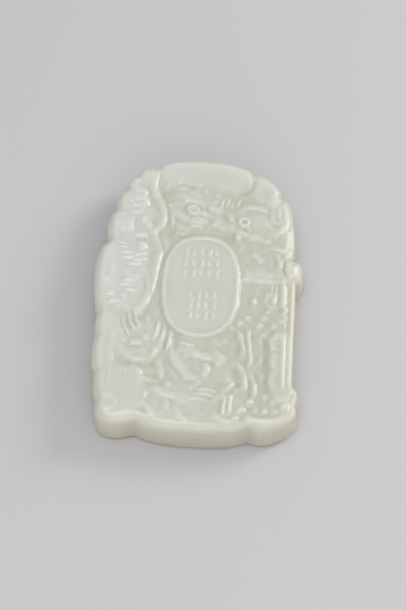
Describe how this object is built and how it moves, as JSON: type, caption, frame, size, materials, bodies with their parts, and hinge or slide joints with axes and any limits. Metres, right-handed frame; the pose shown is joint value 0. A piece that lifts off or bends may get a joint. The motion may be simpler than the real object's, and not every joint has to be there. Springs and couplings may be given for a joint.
{
  "type": "jade pendant",
  "caption": "Thick pale jade plaque pendant with a cloud-lobed outline, carved in low relief with beasts around an oval cartouche",
  "frame": {"origin": "middle of the flat back, on the surface that the plaque lies on", "axes": "+Y along the plaque's length to the smooth cap, +X to the side with the column and knob, +Z out of the carved face"},
  "size_m": [0.0406, 0.059, 0.009],
  "materials": {
    "jade": "polished translucent nephrite with a greasy gloss"
  },
  "bodies": {
    "root": {"jade_plaque": "jade"}
  },
  "joints": []
}
